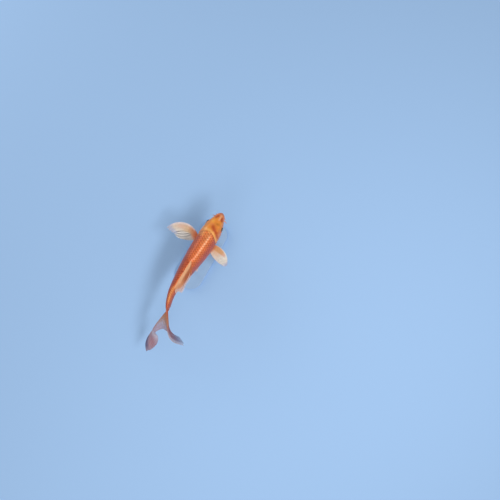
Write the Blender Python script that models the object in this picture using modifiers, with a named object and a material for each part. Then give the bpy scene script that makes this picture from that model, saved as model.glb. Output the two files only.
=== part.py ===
"""A koi carp with long fins, life size, held still on a plain display stand.

Row frame: metres, +Z up, origin at the middle of the stand's underside. The head points to -X,
and +Y is the fish's right side. The body is one loft along a bent spine, parted by thin cuts;
the fins are fans of rays with the same small gap to the body.
"""

import math

import bmesh
import bpy
import numpy as np
from mathutils import Matrix, Vector

MM = 0.001

# Driving dimensions, in millimetres
GAP = 0.3             # clearance between neighbouring solids
AXIS_HEIGHT = 72.0    # height of the snout's tip above the floor
SNOUT_AHEAD = 78.0    # the snout's distance in front of the stand's middle
SNOUT_RIGHT = 3.0     # and to the right of it

# The spine seen from above: place along it and its direction in degrees, positive towards the
# fish's right. The middle of the body swings a little to the left, the tail to the right.
SPINE_TURNS = np.array([
    (0, -5), (14, -1), (40, -2), (75, -4.5), (110, -3.5), (138, -0.5), (153, 11), (180, 28),
])

# Sections of the body: place along the spine, half width, height of the back, depth of the belly
SECTIONS = np.array([
    (0.0, 0.0, 0.0, 0.0),
    (2.0, 4.4, 3.4, 3.6),
    (6.0, 7.2, 7.4, 6.8),
    (12.0, 9.7, 11.6, 9.9),
    (20.0, 12.6, 15.6, 12.9),
    (30.0, 14.9, 19.4, 15.4),
    (45.0, 15.9, 23.4, 18.8),
    (68.0, 16.0, 26.6, 21.2),
    (90.0, 13.9, 25.2, 20.2),
    (115.0, 10.9, 20.2, 16.3),
    (135.0, 8.0, 15.2, 11.9),
    (152.0, 5.7, 11.7, 9.2),
    (168.0, 3.9, 11.0, 9.6),
    (180.0, 1.3, 12.4, 11.2),
])
BODY_END = SECTIONS[-1, 0]
SIDES = 36            # corners round a section
LIP_END = 3.6         # cuts across the body
HEAD_END = 46.0
TRUNK_MIDDLE = 88.0
STALK_START = 130.0

# Eyes: flattened balls set into the sides of the head
EYE_PLACE, EYE_HEIGHT = 23.0, 5.0
EYE_RADIUS, EYE_HALF_DEPTH, EYE_SUNK = 4.0, 2.6, 1.1
EYE_TILT = 84.0       # degrees from upright, so that they look a little upwards

# Gill covers: tilted ovals in side view
GILL_PLACE, GILL_HEIGHT = 36.6, -3.2
GILL_HALF_LENGTH, GILL_HALF_HEIGHT, GILL_TILT = 8.2, 13.0, 12.0
GILL_THICK = 2.4

# Mouth: its cut runs from the snout's tip down to the corner, and on under the throat
MOUTH_HEIGHT = -1.0
MOUTH_CORNER = (9.0, -5.6)
THROAT = (19.0, -16.0)
JAW_SLIDE = (0.55, 1.0)   # how the head's cut is moved back and up from the jaw's, in gaps

# Fins
FIN_THICK = 0.8       # at the edge
ROOT_DEPTH = 2.0      # how deep the back and anal fins start inside the body
PELVIC_SPREAD = math.radians(15.0)   # the belly fins' angle to the vertical
TAIL_ROOT, TAIL_HALF_HEIGHT = 174.0, 8.4
TAIL_MIDDLE = 30.0    # length of the rays in the tail's fork
TAIL_UPPER, TAIL_LOWER = 75.5, 101.5  # and of the longest in each lobe
TAIL_ROUND = 4.5      # how much shorter the edge rays are
LIFT_UPPER, LIFT_LOWER = 27.0, 22.0  # the edge rays' angles to the horizontal, in degrees

# The stand
BASE_LENGTH, BASE_WIDTH, BASE_THICK = 126.0, 48.0, 8.0
BASE_CORNER, BASE_EDGE = 20.0, 1.2
ROD_RADIUS = 2.5
ROD_PLACES = {"stand_rod_front": 58.0, "stand_rod_rear": 108.0}

COLOURS = {
    "skin": ((0.80, 0.20, 0.045), 0.38, 0.15),
    "head": ((0.83, 0.33, 0.06), 0.34, 0.2),
    "fin": ((0.86, 0.66, 0.52), 0.5, 0.0),
    "eye": ((0.03, 0.02, 0.015), 0.12, 0.0),
    "stand": ((0.36, 0.47, 0.56), 0.45, 0.0),
    "rod": ((0.62, 0.64, 0.66), 0.25, 1.0),
}


def clear_scene():
    for obj in list(bpy.data.objects):
        bpy.data.objects.remove(obj, do_unlink=True)


def collection(name):
    made = bpy.data.collections.new(name)
    bpy.context.scene.collection.children.link(made)
    return made


def material(name):
    colour, roughness, metallic = COLOURS[name]
    made = bpy.data.materials.new("koi_" + name)
    made.use_nodes = True
    shader = made.node_tree.nodes["Principled BSDF"]
    shader.inputs["Base Color"].default_value = (*colour, 1.0)
    shader.inputs["Roughness"].default_value = roughness
    shader.inputs["Metallic"].default_value = metallic
    made.diffuse_color = (*colour, 1.0)
    return made


# --- curves and the body's shape ---

def through(knots, values, at):
    """A smooth curve through the knots: cubic pieces, with each slope the mean of its neighbours'."""
    knots, values, at = (np.asarray(a, float) for a in (knots, values, at))
    rise = np.diff(values) / np.diff(knots)
    slope = np.concatenate([rise[:1], (rise[:-1] + rise[1:]) / 2, rise[-1:]])
    i = np.clip(np.searchsorted(knots, at, side="right") - 1, 0, len(knots) - 2)
    step = knots[i + 1] - knots[i]
    t = (at - knots[i]) / step
    return (
        values[i] * (1 + 2 * t) * (1 - t) ** 2
        + slope[i] * step * t * (1 - t) ** 2
        + values[i + 1] * t * t * (3 - 2 * t)
        + slope[i + 1] * step * t * t * (t - 1)
    )


def ease(t):
    t = np.clip(t, 0.0, 1.0)
    return t * t * (3 - 2 * t)


def heading(s):
    """The spine's direction at s, in radians from +X towards +Y."""
    inside = np.clip(s, SPINE_TURNS[0, 0], SPINE_TURNS[-1, 0])
    return np.radians(through(SPINE_TURNS[:, 0], SPINE_TURNS[:, 1], inside))


MIDS = (np.arange(24) + 0.5) / 24    # middles of the pieces in a sum along a ray
SPINE_S = np.linspace(0.0, 200.0, 801)
SPINE_STEP = SPINE_S[1]
SPINE_X = np.concatenate([[0.0], np.cumsum(np.cos(heading(SPINE_S[:-1] + SPINE_STEP / 2)))]) * SPINE_STEP
SPINE_Y = np.concatenate([[0.0], np.cumsum(np.sin(heading(SPINE_S[:-1] + SPINE_STEP / 2)))]) * SPINE_STEP


def place(s, right, up):
    """Points at s along the spine, so far right of it and so far up, in the row frame, in millimetres.

    A negative s lies straight ahead of the snout.
    """
    s = np.asarray(s, float)
    turn = heading(s)
    x = np.interp(s, SPINE_S, SPINE_X) + np.minimum(s, 0.0) - right * np.sin(turn) - SNOUT_AHEAD
    y = np.interp(s, SPINE_S, SPINE_Y) + right * np.cos(turn) + SNOUT_RIGHT
    return np.stack(np.broadcast_arrays(x, y, up + AXIS_HEIGHT), axis=-1)


def half_sizes(s):
    """Half width, back and belly at s. The knots are spaced by their square root, which rounds the snout."""
    root = np.sqrt(np.maximum(s, 0.0))
    knots = np.sqrt(SECTIONS[:, 0])
    return [through(knots, SECTIONS[:, k], root) for k in (1, 2, 3)]


def section(s, around, grow=0.0):
    """(right, up) round a section: an uneven oval, a little boxy on the head, widest just below the axis."""
    wide, back, belly = half_sizes(s)
    low = 0.10 * belly
    top = np.maximum(back + low + grow, 1e-6)
    bottom = np.maximum(belly - low + grow, 1e-6)
    boxy = 2.5 - 0.45 * ease(np.asarray(s, float) / 70.0)
    c, d = np.cos(around), np.sin(around)
    right = (wide + grow) * np.sign(c) * np.abs(c) ** (2 / boxy)
    height = np.abs(d) ** (2 / np.where(d > 0, boxy, 2.2))
    return right, np.where(d > 0, top * height, -bottom * height) - low


def loft(name, start, end, steps, grow=0.0):
    """A closed length of the body from start to end. At the snout's tip it closes to a point."""
    around = 2 * math.pi * np.arange(SIDES) / SIDES
    stations = start + (end - start) * np.linspace(0.0, 1.0, steps + 1) ** (1.7 if start <= 0 else 1.0)
    shape = bmesh.new()
    rings = []
    for s in stations:
        if s <= 0:
            tip = place(-grow, 0.0, 0.0)
            rings.append([shape.verts.new(tip * MM)])
            continue
        right, up = section(s, around, grow)
        extend = grow if s >= BODY_END else 0.0
        rings.append([shape.verts.new(p * MM) for p in place(s + extend, right, up)])
    for first, second in zip(rings, rings[1:]):
        for k in range(SIDES):
            n = (k + 1) % SIDES
            if len(first) == 1:
                shape.faces.new((first[0], second[n], second[k]))
            else:
                shape.faces.new((first[k], first[n], second[n], second[k]))
    if len(rings[0]) > 1:
        shape.faces.new(rings[0][::-1])
    shape.faces.new(rings[-1])
    bmesh.ops.recalc_face_normals(shape, faces=shape.faces)
    return mesh_object(name, shape)


def mesh_object(name, shape):
    mesh = bpy.data.meshes.new(name)
    shape.to_mesh(mesh)
    shape.free()
    return bpy.data.objects.new(name, mesh)


def boolean(obj, other, operation):
    cut = obj.modifiers.new(operation.lower() + "_" + other.name, "BOOLEAN")
    cut.operation = operation
    cut.object = other
    cut.solver = "EXACT"


def prism(name, outline, half_width):
    """A flat outline in the side view, (x, z) in millimetres, drawn out to both sides."""
    curve = bpy.data.curves.new(name, "CURVE")
    curve.dimensions = "2D"
    curve.fill_mode = "BOTH"
    curve.extrude = half_width * MM
    line = curve.splines.new("POLY")
    line.points.add(len(outline) - 1)
    for point, (x, z) in zip(line.points, outline):
        point.co = (x * MM, z * MM, 0.0, 1.0)
    line.use_cyclic_u = True
    return meshed(curve, Matrix.Rotation(math.pi / 2, 4, "X"))


def meshed(curve, turn):
    """The curve's evaluated shape as a welded mesh object, as Booleans take no curve."""
    name = curve.name
    curve_object = bpy.data.objects.new(name + "_curve", curve)
    bpy.context.scene.collection.objects.link(curve_object)
    graph = bpy.context.evaluated_depsgraph_get()
    mesh = bpy.data.meshes.new_from_object(curve_object.evaluated_get(graph))
    shape = bmesh.new()
    shape.from_mesh(mesh)
    bmesh.ops.remove_doubles(shape, verts=shape.verts, dist=1e-6)
    bmesh.ops.transform(shape, matrix=turn, verts=shape.verts)
    bmesh.ops.recalc_face_normals(shape, faces=shape.faces)
    shape.to_mesh(mesh)
    shape.free()
    bpy.data.objects.remove(curve_object)
    return bpy.data.objects.new(name, mesh)


# --- fins ---

def sheet(name, rays, steps, root_thick, point):
    """A fan of rays, thinning from root to tip.

    It is a grid moved to point(u, v), u from the first ray to the last and v from root to tip.
    """
    shape = bmesh.new()
    bmesh.ops.create_grid(shape, x_segments=rays, y_segments=steps, size=0.5)
    flat = np.array([v.co[:2] for v in shape.verts]) + 0.5
    moved = point(flat[:, 0], flat[:, 1])
    for vert, co in zip(shape.verts, moved):
        vert.co = co * MM
    fin = mesh_object(name, shape)
    flesh = fin.vertex_groups.new(name="flesh")
    for k, v in enumerate(flat[:, 1]):
        flesh.add([k], (1.0 - v) ** 2, "REPLACE")
    wall = fin.modifiers.new("thickness", "SOLIDIFY")
    wall.thickness = root_thick * MM
    wall.offset = 0.0
    wall.vertex_group = "flesh"
    wall.thickness_vertex_group = FIN_THICK / root_thick
    return fin


def swept(angle_0, angle_gain, v):
    """The bent path up to v of a ray whose angle grows evenly: the means of its cosine and sine, times v."""
    angle = angle_0[:, None] + angle_gain[:, None] * MIDS * v[:, None]
    return np.cos(angle).mean(1) * v, np.sin(angle).mean(1) * v


def between(ends, u):
    return ends[0] + (ends[1] - ends[0]) * u


def pectoral(side, root_along, root_out, root_up, lengths, leave, bend, fall, cup):
    """A breast fin seen in plan. Pairs are for its first ray and its last, angles in degrees.

    Each ray leaves the shoulder at its own angle behind straight out and bends further back on
    its way. fall lowers it in step with its reach, and cup hollows it.
    """
    def point(u, v):
        length = through((0.0, 0.15, 0.35, 0.6, 0.8, 1.0), lengths, u)
        out, back = swept(np.radians(between(leave, u)), np.radians(between(bend, u)), v)
        x = between(root_along, u) + length * back - SNOUT_AHEAD
        y = side * (root_out + length * out)
        z = between(root_up, u) - fall * length * out - cup * length * v * (1 - v) + AXIS_HEIGHT
        return np.stack([x, y, z], axis=-1)
    return point


def midline_fin(start, end, up, knots, lengths, rake, lean, curl):
    """A fin on the back (up 1) or the belly (up -1), from start to end along the spine.

    Its rays are raked towards the tail and lean to the fish's right, by angles given for the
    first and the last. curl is the share of the lean that comes on along the ray.
    """
    def point(u, v):
        s = between((start, end), u)
        back, belly = half_sizes(s)[1:]
        root = place(s, 0.0, (back if up > 0 else -belly) - ROOT_DEPTH * up)
        length = through(knots, lengths, u) + ROOT_DEPTH
        tilt = np.radians(between(rake, u))
        side = np.radians(between(lean, u))
        rise, over = swept(side * (1 - curl), 2 * side * curl, v)
        turn = heading(s)
        along = np.stack([np.cos(turn), np.sin(turn), 0 * turn], axis=-1)
        right = np.stack([-np.sin(turn), np.cos(turn), 0 * turn], axis=-1)
        return (
            root
            + (length * np.sin(tilt) * v)[:, None] * along
            + (length * np.cos(tilt) * over)[:, None] * right
            + (length * np.cos(tilt) * rise)[:, None] * np.array([0.0, 0.0, up])
        )
    return point


def pelvic(side, start, end, out, down, lengths, leave, bend):
    """A belly fin: rays leave the belly outwards and down, and lie back by the angle leave, then bend."""
    def point(u, v):
        length = between(lengths, u)
        root = place(between((start, end), u), side * between(out, u), -between(down, u))
        fan, back = swept(np.radians(between(leave, u)), np.radians(bend) + 0 * u, v)
        outwards = np.array([0.0, side * math.sin(PELVIC_SPREAD), -math.cos(PELVIC_SPREAD)])
        backwards = np.array([1.0, 0.0, 0.0])
        return root + (length * fan)[:, None] * outwards + (length * back)[:, None] * backwards
    return point


def tail(u, v):
    """The tail fin, u from -1 at the lower edge to 1 at the upper, v along each ray.

    The upper lobe curls round to the right. The lower one runs straight back, and its inner rays
    turn to the right near their tips, so that the two part widely seen from above.
    """
    upper = ease((u + 0.35) / 0.9)
    reach = np.abs(u)
    longest = np.where(u > 0, TAIL_UPPER, TAIL_LOWER)
    length = TAIL_MIDDLE + (longest - TAIL_MIDDLE) * reach ** 1.3 - TAIL_ROUND * ease((reach - 0.8) / 0.2)
    inner = 1 - reach[:, None]
    w = MIDS * v[:, None]
    gone = w * length[:, None]
    # the upper rays leave at 38.5 degrees and turn 73 more, the inner ones first
    up_turn = 38.5 + 73.0 * ease((gone - 29.0 + 19.5 * inner) / 35.5)
    # the lower rays swing left at once, ease back, and hook right at their tips
    low_turn = 6.0 - 18.0 * ease(gone / 6.0) + 4.0 * ease((gone - 10.0) / 25.0) + 45.0 * ease((w - 0.62) / 0.38)
    low_turn += 185.0 * inner ** 1.5 * ease((gone - 38.0) / 24.0)
    turn = np.radians(upper[:, None] * up_turn + (1 - upper[:, None]) * low_turn)
    lift = np.radians(np.where(u > 0, LIFT_UPPER, LIFT_LOWER) * u)[:, None] * (1 - 0.35 * w)
    root = place(TAIL_ROOT + 0 * u, 0.0, u * TAIL_HALF_HEIGHT + 0.6)
    scale = length * v
    return root + np.stack([
        (np.cos(lift) * np.cos(turn)).mean(1) * scale,
        (np.cos(lift) * np.sin(turn)).mean(1) * scale,
        np.sin(lift).mean(1) * scale,
    ], axis=-1)


def tail_lobe(side):
    """One lobe, kept a little more than the gap away from the middle ray."""
    start = 0.7 * GAP / TAIL_HALF_HEIGHT
    return lambda u, v: tail(side * between((start, 1.0), u), v)


# name: rays, steps along a ray, thickness at the root, shape
FINS = {
    "pectoral_fin_left": (9, 12, 2.6, pectoral(
        side=-1, root_along=(53.0, 55.5), root_out=11.5, root_up=(-10.0, -12.5),
        lengths=(68.5, 59.5, 45.0, 37.5, 31.5, 19.0), leave=(-51.5, 39.0), bend=(124.5, -19.5),
        fall=0.16, cup=0.10)),
    "pectoral_fin_right": (9, 12, 2.6, pectoral(
        side=1, root_along=(50.0, 60.5), root_out=12.0, root_up=(-10.0, -12.5),
        lengths=(49.5, 44.0, 41.5, 41.0, 35.0, 14.0), leave=(-19.0, 45.5), bend=(91.5, -41.0),
        fall=0.80, cup=0.16)),
    "dorsal_fin": (14, 7, 2.0, midline_fin(
        start=83.0, end=134.0, up=1,
        knots=(0.0, 0.08, 0.35, 0.65, 0.85, 1.0), lengths=(20.0, 24.0, 23.5, 24.0, 14.0, 10.0),
        rake=(48.5, 43.0), lean=(66.0, 76.0), curl=0.4)),
    "anal_fin": (7, 7, 2.0, midline_fin(
        start=129.0, end=142.0, up=-1,
        knots=(0.0, 0.25, 0.6, 1.0), lengths=(20.0, 27.0, 20.0, 14.0),
        rake=(52.0, 40.0), lean=(4.0, 12.0), curl=0.25)),
    "tail_fin_upper": (8, 12, 2.6, tail_lobe(1)),
    "tail_fin_lower": (8, 12, 2.6, tail_lobe(-1)),
}
for fin_side, fin_word in ((-1, "left"), (1, "right")):
    FINS["pelvic_fin_" + fin_word] = (6, 7, 2.0, pelvic(
        side=fin_side, start=80.0, end=83.0, out=(7.5, 4.5), down=(17.5, 18.7),
        lengths=(28.0, 15.0), leave=(48.0, 74.0), bend=12.0))


# --- head pieces ---

def eye_middle(side):
    right, up = section(EYE_PLACE, np.linspace(-math.pi / 2, math.pi / 2, 91))
    flank = np.interp(EYE_HEIGHT, up, right)
    return place(EYE_PLACE, side * (flank - EYE_SUNK), EYE_HEIGHT)


def eyeball(name, side, grow=0.0):
    shape = bmesh.new()
    bmesh.ops.create_uvsphere(shape, u_segments=16, v_segments=10, radius=1.0)
    size = Vector((EYE_RADIUS + grow, EYE_RADIUS + grow, EYE_HALF_DEPTH + grow)) * MM
    bmesh.ops.scale(shape, vec=size, verts=shape.verts)
    lean = Matrix.Rotation(-side * math.radians(EYE_TILT), 4, "X")
    spot = Matrix.Translation(Vector(eye_middle(side)) * MM)
    bmesh.ops.transform(shape, matrix=spot @ lean, verts=shape.verts)
    return mesh_object(name, shape)


def gill_oval(name, side, grow):
    """An oval cylinder through one side of the head, tilted forward at the foot."""
    shape = bmesh.new()
    bmesh.ops.create_cone(shape, cap_ends=True, segments=36, radius1=1.0, radius2=1.0, depth=30.0 * MM)
    size = Vector(((GILL_HALF_LENGTH + grow) * MM, (GILL_HALF_HEIGHT + grow) * MM, 1.0))
    bmesh.ops.scale(shape, vec=size, verts=shape.verts)
    turn = Matrix.Rotation(math.radians(GILL_TILT), 4, "Y") @ Matrix.Rotation(math.pi / 2, 4, "X")
    spot = Matrix.Translation(Vector(place(GILL_PLACE, side * 16.5, GILL_HEIGHT)) * MM)
    bmesh.ops.transform(shape, matrix=spot @ turn, verts=shape.verts)
    return mesh_object(name, shape)


def barbel(name, side, start, reach, radius):
    """A short soft feeler: a tapering tube that curves back and down from the lip."""
    curve = bpy.data.curves.new(name, "CURVE")
    curve.dimensions = "3D"
    curve.bevel_depth = radius * MM
    curve.bevel_resolution = 1
    curve.use_fill_caps = True
    steps = 7
    line = curve.splines.new("POLY")
    line.points.add(steps - 1)
    for k, point in enumerate(line.points):
        t = k / (steps - 1)
        along = start[0] + reach[0] * t * t
        out = start[1] + reach[1] * math.sin(t * math.pi / 2)
        drop = start[2] + reach[2] * t
        point.co = (*(place(along, side * out, drop) * MM), 1.0)
        point.radius = 1.0 - 0.5 * t
    return meshed(curve, Matrix.Identity(4))


BARBELS = {
    "barbel_corner": ((8.2, 5.6, -5.0), (2.2, 7.0, -3.4), 0.75),
    "barbel_lip": ((4.6, 4.2, -2.2), (1.2, 4.4, -2.8), 0.6),
}


# --- stand ---

def stand_base():
    shape = bmesh.new()
    bmesh.ops.create_cube(shape, size=1.0)
    bmesh.ops.scale(shape, vec=Vector((BASE_LENGTH, BASE_WIDTH, BASE_THICK)) * MM, verts=shape.verts)
    bmesh.ops.translate(shape, vec=(0.0, 0.0, BASE_THICK / 2 * MM), verts=shape.verts)
    upright = [e for e in shape.edges if abs(e.verts[0].co.z - e.verts[1].co.z) > 1e-6]
    bmesh.ops.bevel(shape, geom=upright, offset=BASE_CORNER * MM, segments=8, profile=0.5, affect="EDGES")
    base = mesh_object("stand_base", shape)
    edge = base.modifiers.new("edge", "BEVEL")
    edge.width = BASE_EDGE * MM
    edge.segments = 2
    edge.limit_method = "ANGLE"
    edge.angle_limit = math.radians(60.0)
    return base


def rod(name, s):
    """An upright rod from just above the base into the belly, where the body's cutter trims it."""
    foot = BASE_THICK + GAP
    top = AXIS_HEIGHT - half_sizes(s)[2] + 4.0
    radius = ROD_RADIUS * MM
    shape = bmesh.new()
    bmesh.ops.create_cone(
        shape, cap_ends=True, segments=24, radius1=radius, radius2=radius, depth=(top - foot) * MM)
    x, y, _ = place(s, 0.0, 0.0)
    bmesh.ops.translate(shape, vec=Vector((x, y, (top + foot) / 2)) * MM, verts=shape.verts)
    return mesh_object(name, shape)


# --- putting it together ---

def finish(obj, home, paint):
    home.objects.link(obj)
    obj.data.materials.clear()
    obj.data.materials.append(paint)
    obj.data.shade_smooth()
    obj.data.set_sharp_from_angle(angle=math.radians(40.0))


def helper(obj, home):
    home.objects.link(obj)
    obj.hide_render = True
    obj.display_type = "WIRE"
    return obj


def add_body(koi, paints):
    """Head, upper lip, trunk and tail stalk: lengths of the one loft, a gap apart. Returns the first two."""
    lengths = {
        "upper_lip": (-GAP / 2, LIP_END, 5, "head"),
        "head": (LIP_END, HEAD_END, 11, "head"),
        "trunk_front": (HEAD_END, TRUNK_MIDDLE, 6, "skin"),
        "trunk_rear": (TRUNK_MIDDLE, STALK_START, 6, "skin"),
        "tail_stalk": (STALK_START, BODY_END + GAP / 2, 8, "skin"),
    }
    pieces = {}
    for name, (start, end, steps, paint) in lengths.items():
        pieces[name] = loft(name, start + GAP / 2, end - GAP / 2, steps)
        finish(pieces[name], koi, paints[paint])
    return pieces["head"], pieces["upper_lip"]


def add_jaw(head, lip, koi, cutters, paint):
    """The lower jaw: the loft's part inside the mouth's outline. That, moved by a gap, cuts the head."""
    lip_line = [(-5.0, MOUTH_HEIGHT + 2.0), (0.0, MOUTH_HEIGHT), MOUTH_CORNER, THROAT]
    below = [(THROAT[0], -30.0), (-5.0, -30.0)]
    outline = [(x - SNOUT_AHEAD, z + AXIS_HEIGHT) for x, z in lip_line + below]
    block = helper(prism("cut_jaw", outline, 25.0), cutters)
    moved = block.data.copy()
    moved.transform(Matrix.Translation(Vector((JAW_SLIDE[0], 0.0, JAW_SLIDE[1])) * GAP * MM))
    room = helper(bpy.data.objects.new("cut_jaw_room", moved), cutters)
    jaw = loft("lower_jaw", 0.0, THROAT[0] + 5.0, 12)
    boolean(jaw, block, "INTERSECT")
    finish(jaw, koi, paint)
    boolean(head, room, "DIFFERENCE")
    boolean(lip, room, "DIFFERENCE")


def add_eye(side, word, head, koi, cutters, paint):
    finish(eyeball("eye_" + word, side), koi, paint)
    boolean(head, helper(eyeball("cut_eye_" + word, side, GAP), cutters), "DIFFERENCE")


def add_gill_cover(side, word, head, cores, koi, cutters, paint):
    """A curved plate set flush into the cheek: the loft inside the oval and outside the core."""
    cover = loft("gill_cover_" + word, 20.0, HEAD_END - GAP / 2, 8)
    boolean(cover, helper(gill_oval("cut_cover_" + word, side, 0.0), cutters), "INTERSECT")
    boolean(cover, cores[0], "DIFFERENCE")
    finish(cover, koi, paint)
    room = helper(gill_oval("cut_gill_room_" + word, side, GAP), cutters)
    boolean(room, cores[1], "DIFFERENCE")
    boolean(head, room, "DIFFERENCE")


def add_trimmed(obj, body_cutter, koi, paint):
    """A piece that starts inside the body, cut back to a gap off its surface."""
    boolean(obj, body_cutter, "DIFFERENCE")
    finish(obj, koi, paint)


def main():
    clear_scene()
    koi, cutters = collection("koi_carp"), collection("cutters")
    paints = {name: material(name) for name in COLOURS}
    body_cutter = helper(loft("cut_body", 0.0, BODY_END, 30, GAP), cutters)
    cores = [
        helper(loft("cut_gill_core", 8.0, 60.0, 10, -GILL_THICK), cutters),
        helper(loft("cut_gill_deep_core", 8.0, 60.0, 10, -GILL_THICK - GAP), cutters),
    ]
    head, lip = add_body(koi, paints)
    add_jaw(head, lip, koi, cutters, paints["head"])
    for side, word in ((-1, "left"), (1, "right")):
        add_eye(side, word, head, koi, cutters, paints["eye"])
        add_gill_cover(side, word, head, cores, koi, cutters, paints["head"])
        for stem, (start, reach, radius) in BARBELS.items():
            feeler = barbel(f"{stem}_{word}", side, start, reach, radius)
            add_trimmed(feeler, body_cutter, koi, paints["head"])
    for name, (rays, steps, root_thick, point) in FINS.items():
        add_trimmed(sheet(name, rays, steps, root_thick, point), body_cutter, koi, paints["fin"])
    finish(stand_base(), koi, paints["stand"])
    for name, s in ROD_PLACES.items():
        add_trimmed(rod(name, s), body_cutter, koi, paints["rod"])


main()
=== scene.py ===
import math
from functools import partial

import bpy
import numpy as np
from mathutils import Matrix, Vector


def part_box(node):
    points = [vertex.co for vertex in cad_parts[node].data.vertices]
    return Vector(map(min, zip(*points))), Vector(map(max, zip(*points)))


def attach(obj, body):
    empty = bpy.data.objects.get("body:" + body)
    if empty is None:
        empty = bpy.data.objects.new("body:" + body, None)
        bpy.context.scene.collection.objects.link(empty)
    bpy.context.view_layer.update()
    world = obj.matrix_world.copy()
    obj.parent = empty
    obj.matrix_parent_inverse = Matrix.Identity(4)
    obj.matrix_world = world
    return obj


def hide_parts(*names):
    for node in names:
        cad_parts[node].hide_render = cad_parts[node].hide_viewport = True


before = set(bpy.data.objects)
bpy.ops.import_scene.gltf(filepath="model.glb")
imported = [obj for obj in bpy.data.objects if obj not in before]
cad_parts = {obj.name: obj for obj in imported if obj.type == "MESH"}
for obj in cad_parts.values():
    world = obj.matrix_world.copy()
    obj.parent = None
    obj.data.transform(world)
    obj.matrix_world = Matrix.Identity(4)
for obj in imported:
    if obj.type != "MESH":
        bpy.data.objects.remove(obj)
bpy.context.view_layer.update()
mm = 0.001


def fromHex(text):
    # sRGB hex to linear colour: straight near black, a power of 2.4 above it
    parts = np.array([int(text[k:k + 2], 16) for k in (1, 3, 5)]) / 255
    return np.where(parts <= 0.04045, parts / 12.92, ((parts + 0.055) / 1.055) ** 2.4)


def opaque(text):
    # the same colour as a shader's socket takes it
    return (*fromHex(text), 1)


def palette(**colours):
    # named sRGB colours, made linear
    return {name: fromHex(text) for name, text in colours.items()}


def rise(x, start, over):
    # smooth step, 3 t^2 - 2 t^3, t being the share of the way from start to start + over
    t = np.clip((x - start) / over, 0, 1)
    return t * t * (3 - 2 * t)


def fade(x, start, over):
    # the same step downwards: one minus it
    return 1 - rise(x, start, over)


def between(ends, share):
    # straight from one end's value to the other's
    return ends[0] + (ends[1] - ends[0]) * share


def bump(x, middle, width):
    # bell curve: e to the minus square of the distance to the middle, in widths
    return np.exp(-((x - middle) / width) ** 2)


def dab(x, y, middle, size):
    # round spot: a bell curve one way times a bell curve the other way
    return bump(x, middle[0], size[0]) * bump(y, middle[1], size[1])


def blend(first, second, share):
    # straight mix of two colours, share being one number per point
    return first + (second - first) * np.asarray(share)[..., None]


def painted(colours, base, coats):
    # coats laid over a base colour, each a colour (by name, or one per point) and its strength
    tint = colours[base]
    for colour, strength in coats:
        tint = blend(tint, colours[colour] if isinstance(colour, str) else colour, strength)
    return tint


def through(knots, values, at):
    # smooth curve through the knots: cubic pieces, each slope the mean of its neighbours'
    knots, values, at = (np.asarray(a, float) for a in (knots, values, at))
    slope = np.diff(values) / np.diff(knots)
    slope = np.concatenate([slope[:1], (slope[:-1] + slope[1:]) / 2, slope[-1:]])
    at = np.clip(at, knots[0], knots[-1])
    i = np.clip(np.searchsorted(knots, at, side="right") - 1, 0, len(knots) - 2)
    step = knots[i + 1] - knots[i]
    t = (at - knots[i]) / step
    return (values[i] * (1 + 2 * t) * (1 - t) ** 2 + slope[i] * step * t * (1 - t) ** 2
            + values[i + 1] * t * t * (3 - 2 * t) + slope[i + 1] * step * t * t * (t - 1))


def unit(vectors):
    # each vector over its own length
    return vectors / (np.linalg.norm(vectors, axis=-1, keepdims=True) + 1e-12)


def stacked(*parts):
    # arrays brought to one shape and laid side by side along a new last axis
    return np.stack(np.broadcast_arrays(*parts), axis=-1)


def fromLine(x, y, start, end):
    # distance to the straight line from start to end, positive on its left, and how far along it
    dx, dy = end[0] - start[0], end[1] - start[1]
    length = math.hypot(dx, dy)
    dx, dy = dx / length, dy / length
    return dx * (y - start[1]) - dy * (x - start[0]), dx * (x - start[0]) + dy * (y - start[1])


def stroke(x, y, start, end, width):
    # brush stroke: bell curve of the distance to the piece of line from start to end
    length = math.hypot(end[0] - start[0], end[1] - start[1])
    off, along = fromLine(x, y, start, end)
    beyond = np.maximum(np.maximum(-along, along - length), 0)
    return bump(np.hypot(off, beyond), 0, width)


def gridQuads(rows, columns, closed):
    # quads of a grid of points, row by row; closed joins the last column to the first
    r, c = np.meshgrid(np.arange(rows - 1), np.arange(columns if closed else columns - 1), indexing="ij")
    r, c = r.ravel(), c.ravel()
    n = (c + 1) % columns
    return stacked(r * columns + c, r * columns + n, (r + 1) * columns + n, (r + 1) * columns + c)


def gridPlaces(quads, columns):
    # row and column of each corner; a quad across the seam counts on past the last column
    row, column = quads // columns, quads % columns
    return row, np.where((column == 0) & (column.max(1, keepdims=True) == columns - 1), columns, column)


def fanCaps(rows, columns):
    # triangles that close both ends of a grid tube from two points put after it, one for each end
    ring = np.arange(columns)
    nextOne, last = (ring + 1) % columns, (rows - 1) * columns
    tip = rows * columns
    return np.concatenate([stacked(tip, nextOne, ring), stacked(tip + 1, last + ring, last + nextOne)])


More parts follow.
